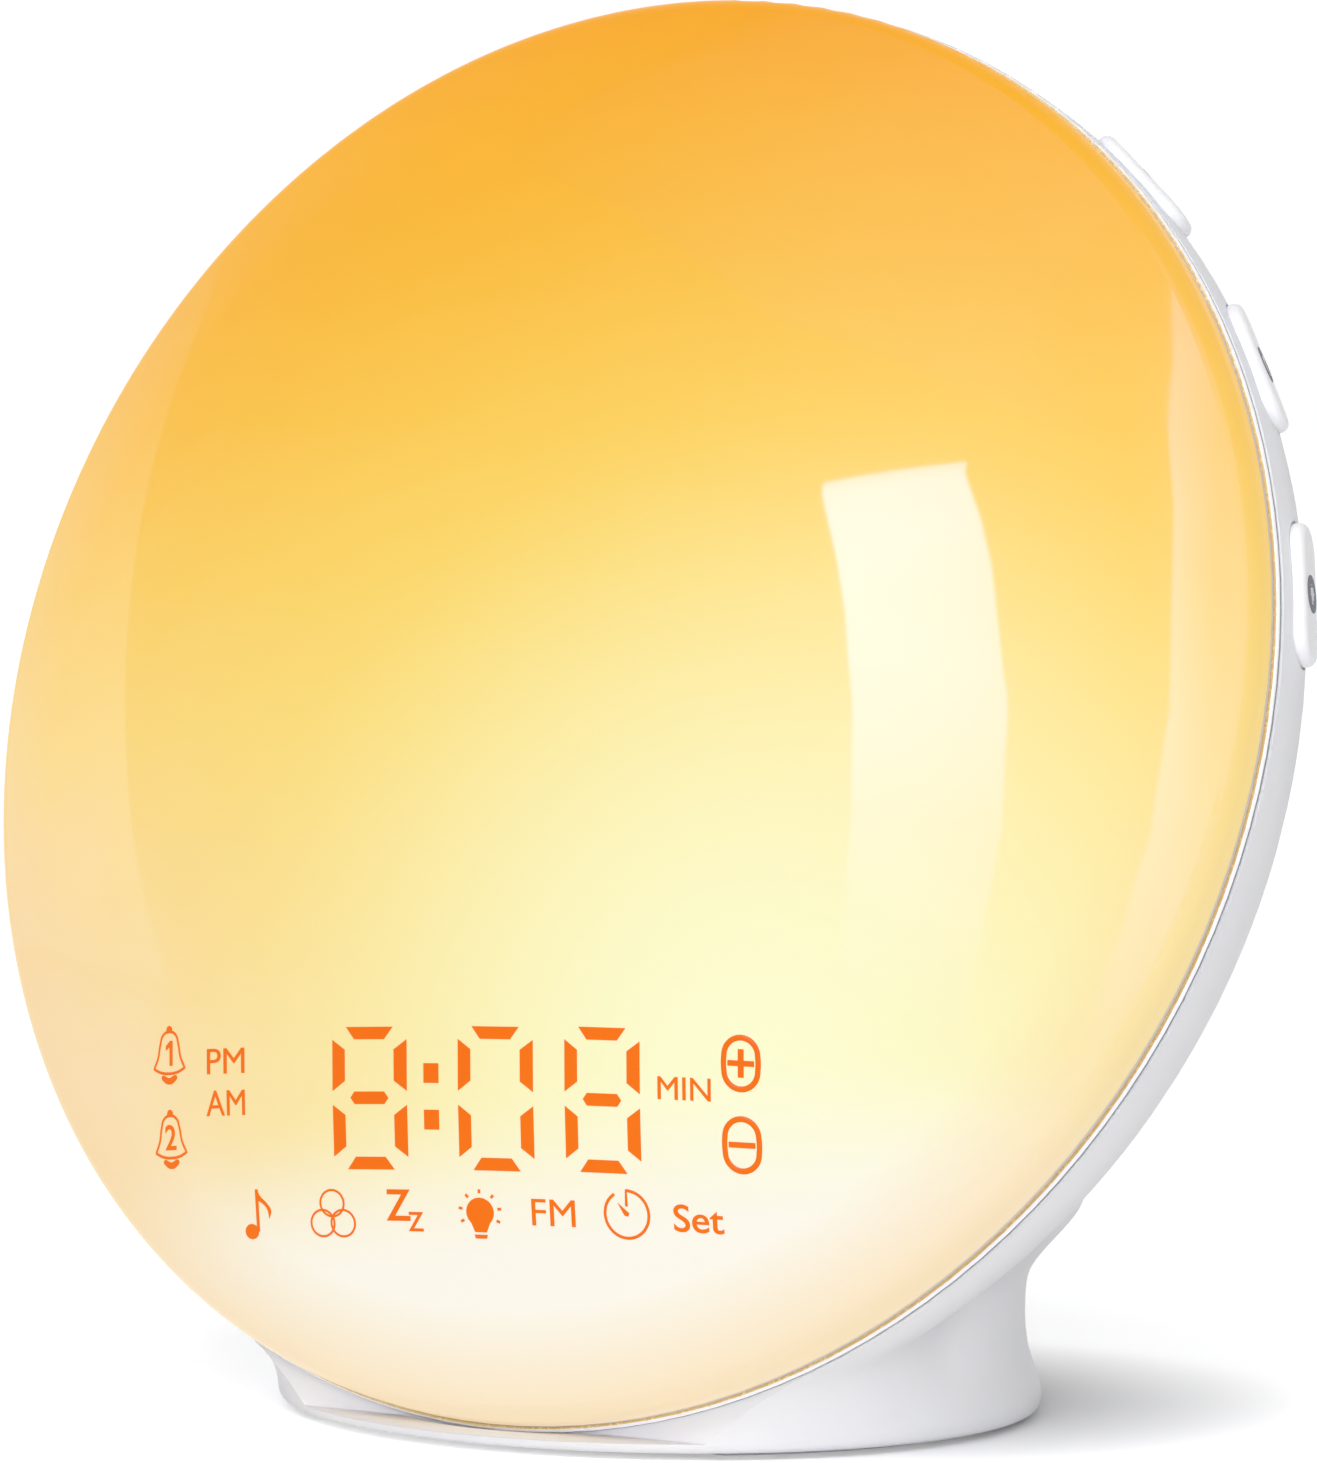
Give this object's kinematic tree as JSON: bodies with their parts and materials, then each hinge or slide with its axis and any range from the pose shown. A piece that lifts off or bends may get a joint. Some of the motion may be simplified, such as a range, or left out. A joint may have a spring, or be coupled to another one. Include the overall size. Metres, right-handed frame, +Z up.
{
  "type": "sunrise alarm clock",
  "caption": "Round sunrise alarm clock: a tilted domed glowing lens with touch display on a bowl-shaped housing and an oval pedestal, with side keys.",
  "frame": {"origin": "centre of the oval footprint, on the table plane under the foot ring", "axes": "+Z up, the face looks towards -Y and leans back, +X to the right of somebody who looks at the face"},
  "size_m": [0.1764, 0.0842, 0.1693],
  "materials": {
    "lens_milky": "translucent satin",
    "trim_gloss_white": "gloss",
    "housing_white": "satin moulded",
    "frame_white": "matte moulded",
    "diffuser_white": "translucent film",
    "board_green": "solder mask",
    "board_white": "white solder mask",
    "led_white": "phosphor",
    "steel": "plated",
    "magnet_steel": "plated",
    "rubber_grey": "matte",
    "black_plastic": "moulded",
    "switch_plunger_white": "moulded",
    "connector_cream": "moulded",
    "cone_paper": "pressed paper",
    "key_white": "semi-gloss"
  },
  "bodies": {
    "housing": {"base_plate": "housing_white", "base_screws": "steel", "board_connectors": "connector_cream", "bracket_screws": "steel", "capacitors": "black_plastic", "cell_contact": "steel", "cell_holder": "frame_white", "coin_cell": "steel", "dc_jack": "black_plastic", "dc_jack_pin": "steel", "diffuser_sheet": "diffuser_white", "display_board": "board_white", "display_leds": "led_white", "display_lightbox": "frame_white", "display_ribbon": "connector_cream", "foot_ring": "rubber_grey", "front_frame": "frame_white", "front_lens": "lens_milky", "housing_screws": "steel", "key_bracket_left": "frame_white", "key_bracket_right": "frame_white", "led_board": "board_white", "led_board_screws": "steel", "main_board": "board_green", "main_board_screws": "steel", "microcontroller": "black_plastic", "power_board": "board_green", "power_board_screws": "steel", "power_lead": "black_plastic", "radio_module": "steel", "rear_housing": "housing_white", "speaker_basket": "magnet_steel", "speaker_cone": "cone_paper", "speaker_gasket": "rubber_grey", "speaker_grille": "housing_white", "speaker_lead": "black_plastic", "speaker_magnet": "magnet_steel", "speaker_screws": "steel", "sunrise_leds": "led_white", "switch_boards_left": "board_green", "switch_boards_right": "board_green", "switch_bodies_left": "black_plastic", "switch_bodies_right": "black_plastic", "touch_springs": "steel", "trim_ring": "trim_gloss_white", "usb_port": "steel", "usb_tongue": "black_plastic"},
    "key_right_1": {"key_cap_right_1": "key_white", "switch_plunger_right_1": "switch_plunger_white"},
    "key_right_2": {"key_cap_right_2": "key_white", "switch_plunger_right_2": "switch_plunger_white"},
    "key_right_3": {"key_cap_right_3": "key_white", "switch_plunger_right_3": "switch_plunger_white"},
    "key_left_1": {"key_cap_left_1": "key_white", "switch_plunger_left_1": "switch_plunger_white"},
    "key_left_2": {"key_cap_left_2": "key_white", "switch_plunger_left_2": "switch_plunger_white"},
    "key_left_3": {"key_cap_left_3": "key_white", "switch_plunger_left_3": "switch_plunger_white"},
    "battery_cover": {"battery_cover": "housing_white"}
  },
  "joints": [
    {"name": "key_right_1_press", "type": "slide", "parent": "housing", "child": "key_right_1", "axis": [-0.6373, -0.4413, -0.6317], "range_m": [0, 0.00055], "stiffness_N_per_m": 2500},
    {"name": "key_right_2_press", "type": "slide", "parent": "housing", "child": "key_right_2", "axis": [-0.8413, -0.3689, -0.3951], "range_m": [0, 0.00055], "stiffness_N_per_m": 2500},
    {"name": "key_right_3_press", "type": "slide", "parent": "housing", "child": "key_right_3", "axis": [-0.9536, -0.2811, -0.1079], "range_m": [0, 0.00055], "stiffness_N_per_m": 2500},
    {"name": "key_left_1_press", "type": "slide", "parent": "housing", "child": "key_left_1", "axis": [0.6373, -0.4413, -0.6317], "range_m": [0, 0.00055], "stiffness_N_per_m": 2500},
    {"name": "key_left_2_press", "type": "slide", "parent": "housing", "child": "key_left_2", "axis": [0.8413, -0.3689, -0.3951], "range_m": [0, 0.00055], "stiffness_N_per_m": 2500},
    {"name": "key_left_3_press", "type": "slide", "parent": "housing", "child": "key_left_3", "axis": [0.9536, -0.2811, -0.1079], "range_m": [0, 0.00055], "stiffness_N_per_m": 2500},
    {"name": "battery_cover_turn", "type": "hinge", "parent": "housing", "child": "battery_cover", "pos_m": [0, -0.004, 0.002], "axis": [0, 0, 1], "range_deg": [0, 45]}
  ]
}
